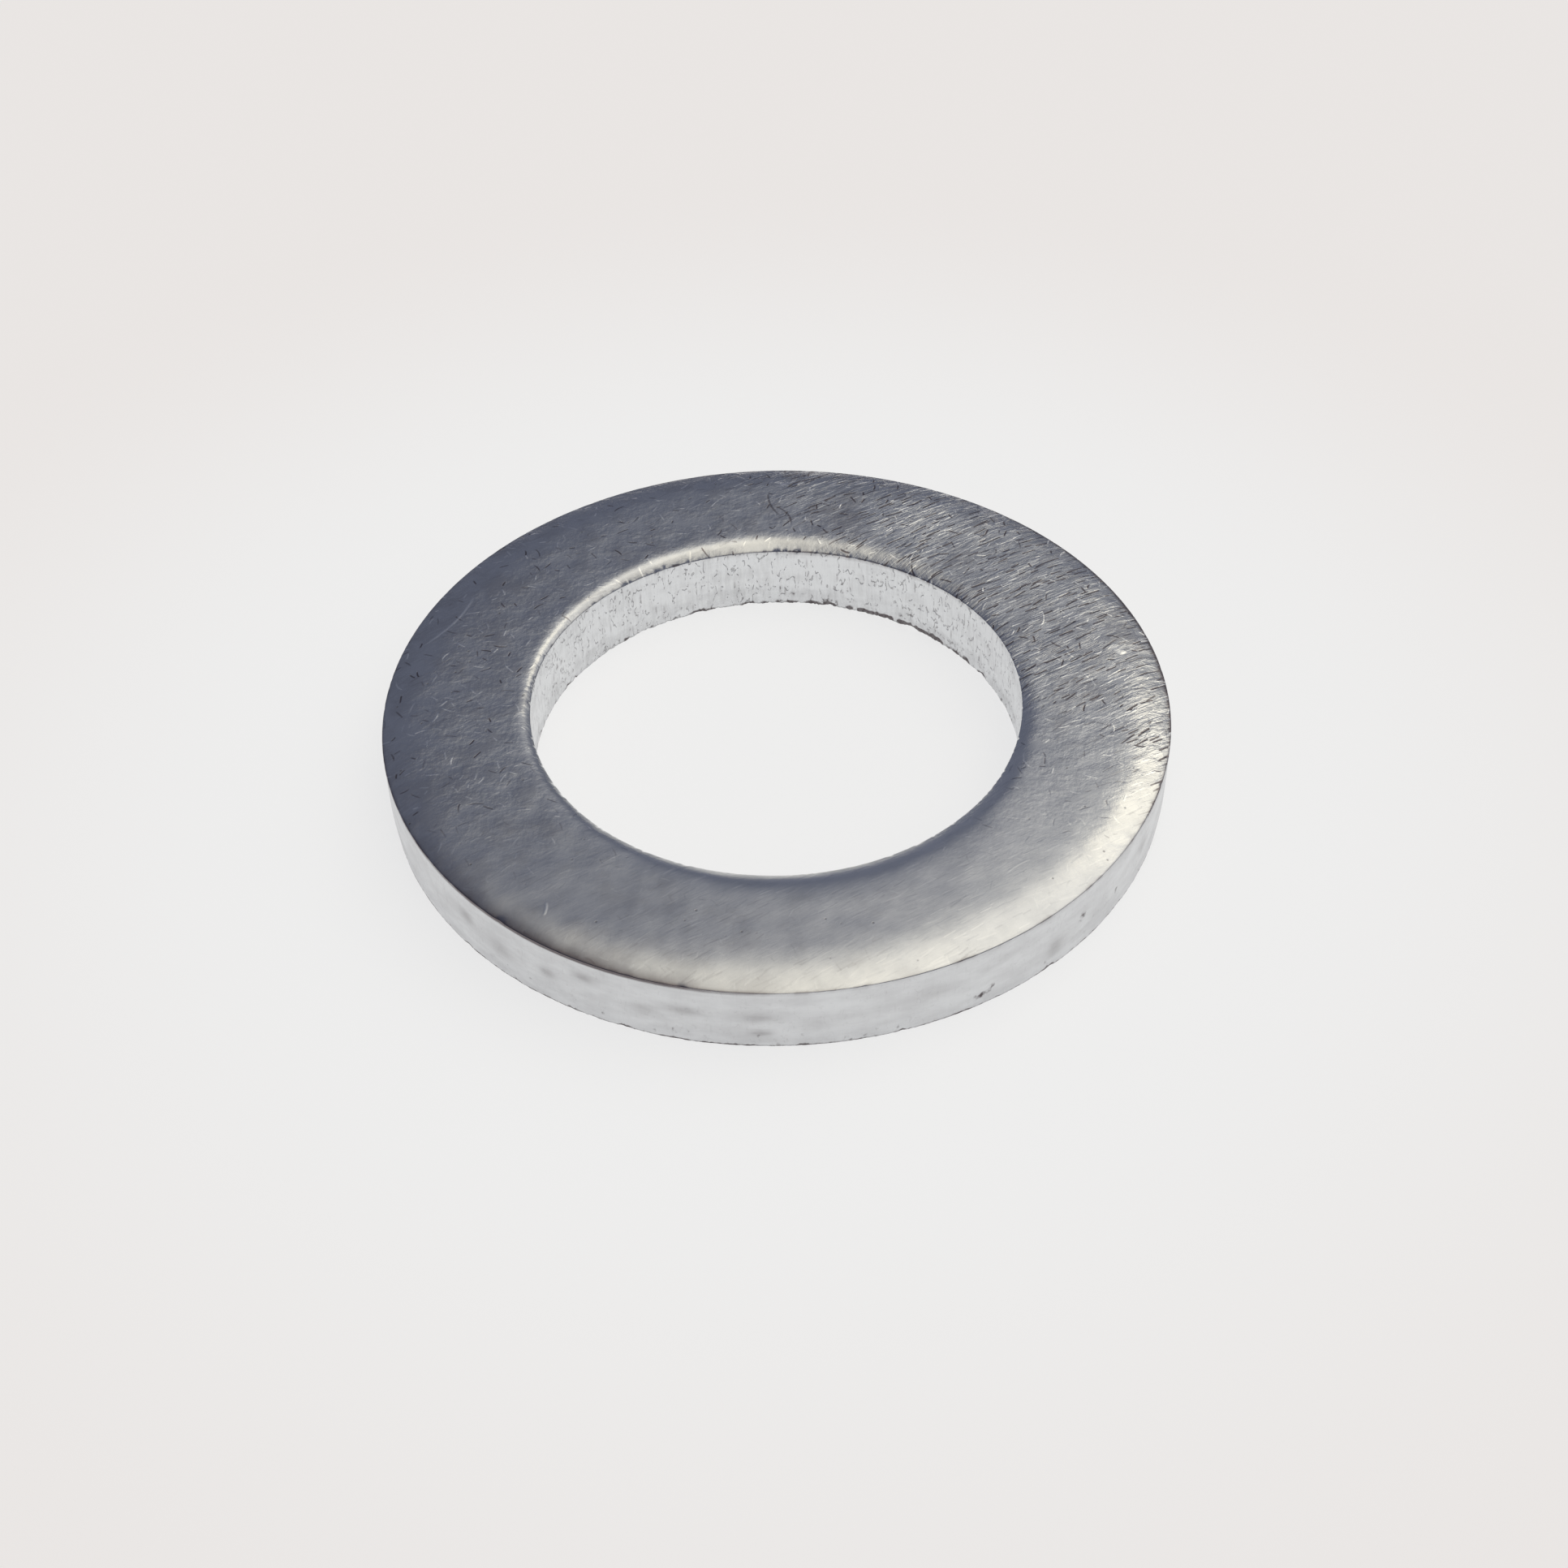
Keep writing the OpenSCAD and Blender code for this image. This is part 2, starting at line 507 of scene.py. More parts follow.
# %% Patches of tone
TONES = [  # middle in mm, half length mm, half width mm, turn in degrees, how much paler
    ((4.5, 8.7), 1.5, 1.2, 40, 0.62),
    ((2.6, 9.2), 0.9, 1.6, 0, -0.38),
    ((7.0, -6.9), 4.8, 1.6, 45, 0.36),
    ((6.9, -4.0), 3.4, 0.6, 62, -0.15),
    ((9.4, 0.1), 0.6, 0.6, 0, -0.25),
    ((10.7, 2.6), 0.6, 1.2, 0, -0.25),
    ((11.2, -2.0), 0.7, 2.4, 10, 0.60),
    ((6.2, 6.2), 0.6, 0.6, 0, -0.30),
    ((-9.6, -3.8), 0.9, 1.8, 20, -0.18),
    ((7.8, 3.2), 0.6, 1.2, 0, -0.20),
    ((-2.0, 8.6), 3.0, 1.0, 15, -0.12),
    ((-9.2, 2.6), 1.0, 3.5, -10, -0.15),
    ((-8.0, 5.5), 1.0, 2.5, -35, -0.12),
    ((-7.4, -5.6), 1.2, 1.0, 0, -0.15),
]
# The rim bands are painted highlight and shade: paler where a die roll mirrors bright light, darker where it
# mirrors dim light, as at the front left of the outer roll.
RIM_PAINTED_LIGHT = [  # angle, half angle, how much paler, distance it reaches in mm, and the arris it starts from
    (110, 150, -0.24, 1.20, from_outer_arris),
    (290, 100, 1.25, 1.15, from_bore_arris),
    (228, 42, -0.60, 0.75, from_outer_arris),
    (243, 30, -0.80, 0.35, from_outer_arris),
]

tone_and_painted_light = np.zeros((around, count))
face_x = section[None, :, 0] * np.cos(turns)[:, None] / MM
face_y = section[None, :, 0] * np.sin(turns)[:, None] / MM
for (x, y), half_length, half_width, turn, paler in TONES:
    cosine = math.cos(math.radians(turn))
    sine = math.sin(math.radians(turn))
    along = (cosine * (face_x - x) + sine * (face_y - y)) / half_length
    across = (cosine * (face_y - y) - sine * (face_x - x)) / half_width
    tone_and_painted_light += paler * np.exp(-along ** 2 - across ** 2)
for angle, half_angle, paler, reach, from_arris in RIM_PAINTED_LIGHT:
    tone_and_painted_light += paler * arc_share(angle, half_angle) * fade(from_arris, reach * MM)
tone_and_painted_light *= 1 - outer_side - bore_side
for angle, height, half_width, half_height, darkness in WALL_SMUDGES:
    tone_and_painted_light -= darkness * spot(angle, wall_place("outer", height), half_width * MM, half_height * MM)
print("the tone runs from", round(float(tone_and_painted_light.min()), 2), "to", round(float(tone_and_painted_light.max()), 2))

# %% [markdown]
# ## Turning the section into a mesh
#
# Every point of the section becomes a ring of vertices, moved by the wear above. The walls move along
# the radius: outer metal towards the axis, bore metal away from it, so nothing leaves the CAD's box.

# %% Lathe the washer
to_metal = np.where(section[:, 0] > mean_r, -1.0, 1.0)
ring_r = section[None, :, 0] + to_metal * inward
ring_z = section[None, :, 1] + upward - downward
xyz = np.stack([ring_r * np.cos(turns)[:, None], ring_r * np.sin(turns)[:, None], ring_z], axis=2)

turn_here = np.arange(around)[:, None]
turn_next = (turn_here + 1) % around
point_here = np.arange(count)[None, :]
point_next = (point_here + 1) % count
corners = np.stack([
    turn_here * count + point_here,
    turn_next * count + point_here,
    turn_next * count + point_next,
    turn_here * count + point_next,
], axis=2)

mesh = bpy.data.meshes.new("washer_body")
mesh.from_pydata(xyz.reshape(-1, 3).tolist(), [], corners.reshape(-1, 4).tolist())
mesh.shade_smooth()
for name, values in {"torn_dirt_and_shade": torn_dirt_and_shade, "fracture": fracture, "edge": edge, "tone_and_painted_light": tone_and_painted_light}.items():
    mesh.attributes.new(name, "FLOAT", "POINT").data.foreach_set("value", np.ravel(values).astype(np.float32))
washer = bpy.data.objects.new("washer_body", mesh)
bpy.context.scene.collection.objects.link(washer)
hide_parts("washer")
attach(washer, "root")
print("washer_body has", len(mesh.polygons), "faces")

# %% [markdown]
# ## A map cut into strips
#
# When the finish is baked into a picture, a plain unwrap wastes most of it on the hole in the middle.
# This map is laid out as a tinsmith would: the top, the bottom and both walls are bands, each cut into
# straight strips that fill the whole width. The seen bands get more of the height than the bottom does.

# %% Lay out the map
BANDS = [  # first zone, last zone, strips, height against its own width in metal
    ("outer_edge", "bore_edge", 3, 1.0),
    ("outer_foot", "outer_wall", 3, 1.0),
    ("bore_wall", "bore_foot", 2, 1.0),
    ("under_face", "under_face", 1, 0.5),
]
STRIP_GAP = 0.004

band_ends = []
for first, last, strips, stretch in BANDS:
    start = zone_of.index(first)
    stop = zone_of.index(last) + zone_of.count(last)
    band_ends.append((start, stop, strips, stretch * (path[stop] - path[start])))
all_strips = sum(strips for _, _, strips, _ in band_ends)
height_scale = (1 - STRIP_GAP * (all_strips + 1)) / sum(strips * tall for _, _, strips, tall in band_ends)

uv = np.zeros((around, count, 4, 2))
strip_low = STRIP_GAP
for start, stop, strips, tall in band_ends:
    high = tall * height_scale
    share = (path[start:stop + 1] - path[start]) / (path[stop] - path[start])
    per_strip = around // strips
    for strip in range(strips):
        rows = slice(strip * per_strip, (strip + 1) * per_strip)
        left = (np.arange(per_strip) / per_strip * (1 - 2 * STRIP_GAP) + STRIP_GAP)[:, None]
        right = left + (1 - 2 * STRIP_GAP) / per_strip
        low = strip_low + share[None, :-1] * high
        up = strip_low + share[None, 1:] * high
        for corner, (across, along) in enumerate([(left, low), (right, low), (right, up), (left, up)]):
            uv[rows, start:stop, corner, 0] = across
            uv[rows, start:stop, corner, 1] = along
        strip_low += high + STRIP_GAP
mesh.uv_layers.new(name="OFBake").data.foreach_set("uv", uv.ravel().astype(np.float32))
print("1 mm along the section takes up", round(100 * height_scale * MM, 2), "% of the map's height")

# %% [markdown]
# ## Small tools for building materials
#
# Nodes are quick to place by hand and tedious to place in code. These helpers make one node per call
# and link or set each input, whichever the value given is, so that a finish can be read as arithmetic.

# %% Node helpers
def add_node(tree, kind, **settings):
    node = tree.nodes.new("ShaderNode" + kind)
    for name, value in settings.items():
        setattr(node, name, value)
    return node


def feed(tree, socket, value):
    """Link an input to another node's output, or set it to a plain value."""
    if isinstance(value, bpy.types.NodeSocket):
        tree.links.new(value, socket)
    else:
        socket.default_value = value


def math_of(tree, operation, *values, clamp=False):
    node = add_node(tree, "Math", operation=operation, use_clamp=clamp)
    for socket, value in zip(node.inputs, values):
        feed(tree, socket, value)
    return node.outputs[0]


def product(tree, first, *others):
    """The values multiplied together."""
    multiplied = first
    for value in others:
        multiplied = math_of(tree, "MULTIPLY", multiplied, value)
    return multiplied


def vector_of(tree, operation, *values, output="Vector"):
    node = add_node(tree, "VectorMath", operation=operation)
    for socket, value in zip(node.inputs, values):
        feed(tree, socket, value)
    return node.outputs[output]


def ramp(tree, value, low, high, to_low=0.0, to_high=1.0):
    """A smooth step: to_low where the value is low, to_high where it is high."""
    node = add_node(tree, "MapRange", interpolation_type="SMOOTHSTEP")
    given = {"Value": value, "From Min": low, "From Max": high, "To Min": to_low, "To Max": to_high}
    for name, number in given.items():
        feed(tree, node.inputs[name], number)
    return node.outputs["Result"]


def total_of(tree, *terms):
    """The sum of terms, each a (socket, factor) pair."""
    total = 0.0
    for value, factor in terms:
        total = math_of(tree, "MULTIPLY_ADD", value, factor, total)
    return total


def mix_colours(tree, share, first, second):
    node = add_node(tree, "Mix", data_type="RGBA")
    feed(tree, node.inputs["Factor"], share)
    feed(tree, node.inputs["A"], (*first, 1) if isinstance(first, tuple) else first)
    feed(tree, node.inputs["B"], (*second, 1) if isinstance(second, tuple) else second)
    return node.outputs["Result"]


def new_group(name, inputs, outputs):
    """A node group with the named inputs and their values, and the named outputs."""
    group = bpy.data.node_groups.new(name, "ShaderNodeTree")
    for label, value in inputs.items():
        kind = "NodeSocketVector" if isinstance(value, tuple) else "NodeSocketFloat"
        group.interface.new_socket(label, in_out="INPUT", socket_type=kind).default_value = value
    for label in outputs:
        group.interface.new_socket(label, in_out="OUTPUT", socket_type="NodeSocketFloat")
    return group, group.nodes.new("NodeGroupInput").outputs, group.nodes.new("NodeGroupOutput").inputs


def place_group(tree, group, **values):
    """Put a group in a material, with its inputs given by name, and return its outputs."""
    node = add_node(tree, "Group", node_tree=group)
    for name, value in values.items():
        feed(tree, node.inputs[name], value)
    return node.outputs


# %% [markdown]
# ## Rolling grain
#
# The mill leaves fine parallel lines in the sheet, a few hundredths of a millimetre apart and much
# longer than wide. Noise that is squeezed across the lines and pulled out along them gives that look.
# The whole effect goes in a node group, because both faces use it with their own direction.

# %% Build the grain group
grain, given, result = new_group(
    "rolling_grain",
    {"Place": (0.0, 0.0, 0.0), "Direction": 0.0, "Length": 1.0, "Width": 0.1, "Shift": 0.0},
    ["Height"],
)
turned = add_node(grain, "VectorRotate", rotation_type="Z_AXIS")
feed(grain, turned.inputs["Vector"], given["Place"])
feed(grain, turned.inputs["Angle"], product(grain, given["Direction"], -1.0))
parts = add_node(grain, "SeparateXYZ")
feed(grain, parts.inputs[0], turned.outputs[0])
pulled = add_node(grain, "CombineXYZ")
feed(grain, pulled.inputs["X"], math_of(grain, "DIVIDE", parts.outputs["X"], given["Length"]))
feed(grain, pulled.inputs["Y"], math_of(grain, "DIVIDE", parts.outputs["Y"], given["Width"]))
feed(grain, pulled.inputs["Z"], given["Shift"])
streaks = add_node(grain, "TexNoise")
feed(grain, streaks.inputs["Vector"], pulled.outputs[0])
feed(grain, streaks.inputs["Scale"], 1.0)
feed(grain, streaks.inputs["Detail"], 2.5)
feed(grain, streaks.inputs["Roughness"], 0.65)
feed(grain, result["Height"], streaks.outputs["Fac"])
print("grain group:", len(grain.nodes), "nodes")

# %% [markdown]
# ## Stray scratches
#
# Loose washers scratch each other in short strokes. A Voronoi texture shares the surface out in cells,
# and each cell knows its own centre and a random colour. That is enough to draw one stroke per cell: the
# colour picks its angle, length and bend, and whether this cell has a stroke at all. Shade is the same
# stroke, pale in some cells and dark in others, because a scratch's two sides mirror different things.

# %% Build the scratch group
SHIFT_SLANT = 1.7  # how much further a shift goes along Y than along X
SHUFFLES = (37.7, 23.3)  # large odd factors, which turn one random number into an unlike one

scratches, given, result = new_group(
    "stray_scratches",
    {
        "Place": (0.0, 0.0, 0.0), "Spacing": 1.0, "Length": 0.6, "Width": 0.03,
        "Direction": 0.0, "Spread": 3.1416, "Bow": 0.5, "Share": 0.7, "Shift": 0.0,
    },
    ["Depth", "Shade"],
)
cells = add_node(scratches, "TexVoronoi", voronoi_dimensions="2D")
spaced = vector_of(scratches, "SCALE", given["Place"])
feed(scratches, spaced.node.inputs["Scale"], math_of(scratches, "DIVIDE", 1.0, given["Spacing"]))
shift = add_node(scratches, "CombineXYZ")
feed(scratches, shift.inputs["X"], given["Shift"])
feed(scratches, shift.inputs["Y"], product(scratches, given["Shift"], SHIFT_SLANT))
in_cells = vector_of(scratches, "ADD", spaced, shift.outputs[0])
feed(scratches, cells.inputs["Vector"], in_cells)
feed(scratches, cells.inputs["Scale"], 1.0)
feed(scratches, cells.inputs["Randomness"], 1.0)
chance = add_node(scratches, "SeparateColor")
feed(scratches, chance.inputs[0], cells.outputs["Color"])
red, green, blue = chance.outputs["Red"], chance.outputs["Green"], chance.outputs["Blue"]
from_centre = vector_of(scratches, "SUBTRACT", in_cells, cells.outputs["Position"])
in_mm = vector_of(scratches, "SCALE", from_centre)
feed(scratches, in_mm.node.inputs["Scale"], given["Spacing"])
swing = product(scratches, math_of(scratches, "SUBTRACT", red, 0.5), given["Spread"])
backwards = product(scratches, given["Direction"], -1.0)
heading = math_of(scratches, "MULTIPLY_ADD", swing, -2.0, backwards)
turned = add_node(scratches, "VectorRotate", rotation_type="Z_AXIS")
feed(scratches, turned.inputs["Vector"], in_mm)
feed(scratches, turned.inputs["Angle"], heading)
parts = add_node(scratches, "SeparateXYZ")
feed(scratches, parts.inputs[0], turned.outputs[0])
bend = product(scratches, math_of(scratches, "SUBTRACT", green, 0.5), given["Bow"])
squared = product(scratches, parts.outputs["X"], parts.outputs["X"])
sideways = math_of(scratches, "MULTIPLY_ADD", squared, bend, parts.outputs["Y"])
off_line = math_of(scratches, "ABSOLUTE", sideways)
length_share = math_of(scratches, "MULTIPLY_ADD", blue, 0.35, 0.15)
half_length = product(scratches, given["Length"], length_share)
along_line = math_of(scratches, "ABSOLUTE", parts.outputs["X"])
ends = ramp(scratches, math_of(scratches, "DIVIDE", along_line, half_length), 1.0, 0.4)
line = ramp(scratches, math_of(scratches, "DIVIDE", off_line, given["Width"]), 1.0, 0.3)
lot = math_of(scratches, "FRACT", product(scratches, math_of(scratches, "ADD", red, blue), SHUFFLES[0]))
drawn = math_of(scratches, "LESS_THAN", lot, given["Share"])
depth = product(scratches, ends, line, drawn)
feed(scratches, result["Depth"], depth)
luck = math_of(scratches, "FRACT", product(scratches, green, SHUFFLES[1]))
pale_or_dark = math_of(scratches, "MULTIPLY_ADD", luck, 2.0, -1.0)
feed(scratches, result["Shade"], product(scratches, depth, pale_or_dark))
print("scratch group:", len(scratches.nodes), "nodes")

# %% [markdown]
# ## A scratch with a place of its own
#
# The longest scratches are what an owner would know this washer by, so they are drawn one at a time. A
# Mapping node moves the surface under the scratch, turns it and scales it, so that the scratch always
# runs from -1 to 1 along X and is 1 wide. Eleven of these share one shader, so each has to be short.

# %% Build the named-scratch group
one_scratch, given, result = new_group(
    "one_scratch",
    {
        "Place": (0.0, 0.0, 0.0), "Middle": (0.0, 0.0, 0.0), "Turn": (0.0, 0.0, 0.0),
        "Size": (1.0, 1.0, 1.0), "Bow": 0.0,
    },
    ["Depth"],
)
under_it = add_node(one_scratch, "Mapping", vector_type="TEXTURE")
for name, source in (("Vector", "Place"), ("Location", "Middle"), ("Rotation", "Turn"), ("Scale", "Size")):
    feed(one_scratch, under_it.inputs[name], given[source])
parts = add_node(one_scratch, "SeparateXYZ")
feed(one_scratch, parts.inputs[0], under_it.outputs[0])
squared = product(one_scratch, parts.outputs["X"], parts.outputs["X"])
sideways = math_of(one_scratch, "MULTIPLY_ADD", squared, given["Bow"], parts.outputs["Y"])
line = ramp(one_scratch, math_of(one_scratch, "ABSOLUTE", sideways), 1.0, 0.0)
ends = ramp(one_scratch, squared, 1.0, 0.3)
feed(one_scratch, result["Depth"], product(one_scratch, line, ends))
print("one-scratch group:", len(one_scratch.nodes), "nodes")

# %% [markdown]
# ## Pits
#
# Where the metal tore, or a grain of dirt was pressed in, it leaves a pit. Pits are the middles of some
# Voronoi cells, in three dimensions, so that they also work round a wall. Squeezing the space they are
# drawn in makes them upright flecks.

# %% A helper that squeezes the space of a texture
def squeeze(tree, given):
    """The place given to a group, shifted along X and squeezed along Z."""
    parts = add_node(tree, "SeparateXYZ")
    feed(tree, parts.inputs[0], given["Place"])
    squeezed = add_node(tree, "CombineXYZ")
    feed(tree, squeezed.inputs["X"], math_of(tree, "ADD", parts.outputs["X"], given["Shift"]))
    feed(tree, squeezed.inputs["Y"], parts.outputs["Y"])
    feed(tree, squeezed.inputs["Z"], math_of(tree, "DIVIDE", parts.outputs["Z"], given["Tall"]))
    return squeezed.outputs[0]


# %% Build the pit group
pits, given, result = new_group(
    "pits",
    {"Place": (0.0, 0.0, 0.0), "Spacing": 0.5, "Size": 0.25, "Tall": 1.0, "Share": 0.5, "Shift": 0.0},
    ["Depth"],
)
cells = add_node(pits, "TexVoronoi", voronoi_dimensions="3D")
feed(pits, cells.inputs["Vector"], squeeze(pits, given))
feed(pits, cells.inputs["Scale"], math_of(pits, "DIVIDE", 1.0, given["Spacing"]))
chance = add_node(pits, "SeparateColor")
feed(pits, chance.inputs[0], cells.outputs["Color"])
kept = math_of(pits, "LESS_THAN", chance.outputs["Red"], given["Share"])
bowl = ramp(pits, cells.outputs["Distance"], given["Size"], 0.0)
feed(pits, result["Depth"], product(pits, bowl, kept))
print("pit group:", len(pits.nodes), "nodes")

# %% [markdown]
# ## Clouds
#
# Handling leaves broad, soft patches on bare metal, a millimetre or so across. Plain noise does this,
# stretched to run from -1 to 1 so that it can add and take away.

# %% Build the cloud group
clouds, given, result = new_group(
    "clouds",
    {"Place": (0.0, 0.0, 0.0), "Size": 1.0, "Tall": 1.0, "Detail": 3.0, "Shift": 0.0},
    ["Value"],
)
puffs = add_node(clouds, "TexNoise")
feed(clouds, puffs.inputs["Vector"], squeeze(clouds, given))
feed(clouds, puffs.inputs["Scale"], math_of(clouds, "DIVIDE", 1.0, given["Size"]))
feed(clouds, puffs.inputs["Detail"], given["Detail"])
feed(clouds, puffs.inputs["Roughness"], 0.6)
feed(clouds, result["Value"], ramp(clouds, puffs.outputs["Fac"], 0.3, 0.7, -1.0, 1.0))
print("cloud group:", len(clouds.nodes), "nodes")

# %% [markdown]
# ## The rolled face
#
# Bare aluminium is a plain metal with a soft shine: nearly all of its look is what it mirrors, and a
# slope of one or two degrees in the surface shows as a light or dark streak. So the grain, the
# scratches and the clouds go into one height map, in thousandths of a millimetre. Some of them also go
# into the colour, as a number that darkens where it is above zero and brightens below: there the pale
# and dark sides of the scratches are painted reflection, and the paler and darker bands along the rims
# are painted highlight and shade. The grain is strong at the back right, where the sheet was least
# handled, and is nearly rubbed away elsewhere.

# %% Helpers that both finishes share
MICRON = 0.001 * MM


def new_finish(name, metallic=1.0):
    """A material, its node tree, its Principled shader, and the place on the object in mm."""
    finish = bpy.data.materials.new(name)
    finish.use_nodes = True
    tree = finish.node_tree
    shader = tree.nodes["Principled BSDF"]
    shader.inputs["Metallic"].default_value = metallic
    coordinates = add_node(tree, "TexCoord")
    place = vector_of(tree, "SCALE", coordinates.outputs["Object"])
    place.node.inputs["Scale"].default_value = 1 / MM
    return finish, tree, shader, place


def vertex_value(tree, name):
    """One of the numbers kept on the mesh's vertices."""
    return add_node(tree, "Attribute", attribute_name=name).outputs["Fac"]


def add_relief(tree, shader, height_microns):
    """Tip the shader's normal as a height map in microns would."""
    bump = add_node(tree, "Bump")
    bump.inputs["Strength"].default_value = 1.0
    bump.inputs["Distance"].default_value = MICRON
    feed(tree, bump.inputs["Height"], height_microns)
    feed(tree, shader.inputs["Normal"], bump.outputs["Normal"])


def tint(tree, darker, plain, dull, bright):
    """The plain colour, moved towards dull where darker is above 0 and towards bright below."""
    shade = mix_colours(tree, math_of(tree, "MULTIPLY", darker, 1.0, clamp=True), plain, dull)
    return mix_colours(tree, math_of(tree, "MULTIPLY", darker, -1.0, clamp=True), shade, bright)


# %% Scratches of the top face
# A named scratch below 0 in the last column is a painted glint, paler than the metal, and above 0 painted
# shade.
FACE_SCRATCHES = [  # start and end in mm, bow mm, width mm, depth in microns, how much darker
    ((-9.40, 5.10), (-10.90, 2.60), 0.25, 0.07, -3.0, -0.90),
    ((-6.50, -8.60), (-6.55, -9.15), 0.04, 0.07, -3.0, -0.90),
    ((-0.25, 10.45), (0.15, 9.00), -0.15, 0.065, 4.0, 0.65),
    ((0.25, 9.75), (0.80, 8.55), 0.20, 0.065, 4.0, 0.65),
    ((0.15, 9.00), (0.75, 9.15), 0.05, 0.05, 1.5, 0.30),
    ((10.50, 2.05), (10.85, 1.55), -0.04, 0.20, -12.0, -2.0),
    ((10.62, 1.75), (10.95, 2.00), 0.00, 0.07, -1.5, -0.50),
    ((9.62, -2.15), (9.78, -2.27), 0.00, 0.06, 2.5, 0.70),
    ((0.10, 11.10), (0.55, 10.85), 0.05, 0.09, -4.0, -1.50),
    ((-3.60, 9.10), (-4.40, 8.40), 0.10, 0.04, 1.0, 0.25),
    ((6.30, -7.90), (7.10, -7.30), 0.05, 0.05, -1.2, -0.25),
]


def scratch_depth(tree, place, start, end, bow, width):
    """How deep the surface lies in one scratch, from 0 to 1."""
    half = (Vector(end) - Vector(start)) / 2
    middle = Vector(start) + half
    turn = math.atan2(half.y, half.x)
    outputs = place_group(
        tree, one_scratch, Place=place, Middle=(middle.x, middle.y, 0.0), Turn=(0.0, 0.0, turn),
        Size=(half.length, width, 1.0), Bow=bow / width,
    )
    return outputs["Depth"]


# %% Finish of the faces
GRAIN_DIRECTION = math.radians(31)
TOWARDS_GRAIN = (1.0, 0.75, 0.0)  # the grain gets stronger this way
GRAIN_BEGINS, GRAIN_FULL, GRAIN_LEAST = 5.8, 10.5, 0.08
TOWARDS_BACK = (0.0, 1.0, 0.0)  # and the small marks this way
MARKS_BEGIN, MARKS_FULL, MARKS_LEAST = -9.0, -2.0, 0.12
FACE_PLAIN, FACE_DULL, FACE_BRIGHT = (0.655, 0.66, 0.67), (0.22, 0.195, 0.20), (0.99, 0.98, 0.95)
FACE_ROUGHNESS = 0.215


def rolled_face(name, direction, shift, marks, grain_everywhere):
    """The finish of a face: rolling grain, stray and named scratches, pits and clouds."""
    metal, tree, shader, place = new_finish(name)
    mottle = place_group(tree, clouds, Place=place, Size=0.9, Detail=5.0, Shift=shift)["Value"]
    patches = place_group(tree, clouds, Place=place, Size=2.6, Detail=2.0, Shift=shift + 40)["Value"]
    # pale and dark patches, and along the rims painted highlight and shade
    paler = vertex_value(tree, "tone_and_painted_light")

    toward_grain = vector_of(tree, "DOT_PRODUCT", place, TOWARDS_GRAIN, output="Value")
    kept_grain = ramp(tree, toward_grain, GRAIN_BEGINS, GRAIN_FULL, GRAIN_LEAST + grain_everywhere, 1.0)
    clearness = total_of(tree, (patches, 0.30), (paler, 1.0), (1.0, 0.80))
    grain_share = product(tree, kept_grain, clearness)
    toward_back = vector_of(tree, "DOT_PRODUCT", place, TOWARDS_BACK, output="Value")
    worn = ramp(tree, toward_back, MARKS_BEGIN, MARKS_FULL, MARKS_LEAST, 1.0)

    fine = place_group(
        tree, grain, Place=place, Direction=direction, Length=0.8, Width=0.10, Shift=shift,
    )["Height"]
    broad = place_group(
        tree, grain, Place=place, Direction=direction, Length=1.6, Width=0.26, Shift=shift + 9,
    )["Height"]
    strokes = place_group(
        tree, scratches, Place=place, Spacing=0.36, Length=1.5, Width=0.036,
        Direction=direction, Spread=0.10, Bow=0.1, Share=0.9, Shift=shift,
    )["Shade"]
    more_strokes = place_group(
        tree, scratches, Place=place, Spacing=0.50, Length=2.0, Width=0.040,
        Direction=direction + 0.05, Spread=0.20, Bow=0.1, Share=0.85, Shift=shift + 5,
    )["Shade"]
    hairs = place_group(
        tree, scratches, Place=place, Spacing=0.40, Length=0.60, Width=0.038,
        Direction=0.0, Spread=3.14, Bow=2.0, Share=0.6, Shift=shift + 11,
    )["Shade"]
    specks = place_group(
        tree, pits, Place=place, Spacing=0.40, Size=0.14, Tall=1.0, Share=0.35, Shift=shift,
    )["Depth"]

    lined = product(tree, math_of(tree, "ADD", strokes, more_strokes), grain_share)
    hair_share = product(tree, hairs, math_of(tree, "MULTIPLY_ADD", kept_grain, 0.6, 0.4), worn)
    from_middle = math_of(tree, "ABSOLUTE", math_of(tree, "SUBTRACT", broad, 0.5))
    creases = product(tree, ramp(tree, from_middle, 0.020, 0.003), grain_share)
    height = total_of(  # in microns
        tree,
        (product(tree, fine, grain_share), 16.0),
        (product(tree, broad, grain_share), 16.0),
        (lined, 4.0),
        (hair_share, 6.0),
        (creases, -3.5),
        (specks, -3.0),
        (product(tree, mottle, worn), 7.0),
        (patches, 8.0),
    )
    # The scratch strokes and hairs paint their pale and dark reflection into the colour, and the paler values
    # add painted highlight and shade along the rims.
    darker = total_of(
        tree,
        (specks, 0.8),
        (lined, -2.2),
        (hair_share, -2.3),
        (creases, 0.30),
        (mottle, 0.14),
        (paler, -0.8),
        (vertex_value(tree, "edge"), 0.8),
    )
    for start, end, bow, width, depth, dark in marks:
        mark = scratch_depth(tree, place, start, end, bow, width)
        height = math_of(tree, "MULTIPLY_ADD", mark, -depth, height)
        darker = math_of(tree, "MULTIPLY_ADD", mark, dark, darker)
    add_relief(tree, shader, height)

    feed(tree, shader.inputs["Base Color"], tint(tree, darker, FACE_PLAIN, FACE_DULL, FACE_BRIGHT))
    rough = total_of(tree, (mottle, 0.015), (specks, 0.15))
    feed(tree, shader.inputs["Roughness"], math_of(tree, "ADD", rough, FACE_ROUGHNESS))
    return metal


top_metal = rolled_face("rolled_face", GRAIN_DIRECTION, 0.0, FACE_SCRATCHES, 0.0)
under_metal = rolled_face("rolled_underside", -GRAIN_DIRECTION, 70.0, [], 0.4)
print("the top face has", len(top_metal.node_tree.nodes), "nodes")

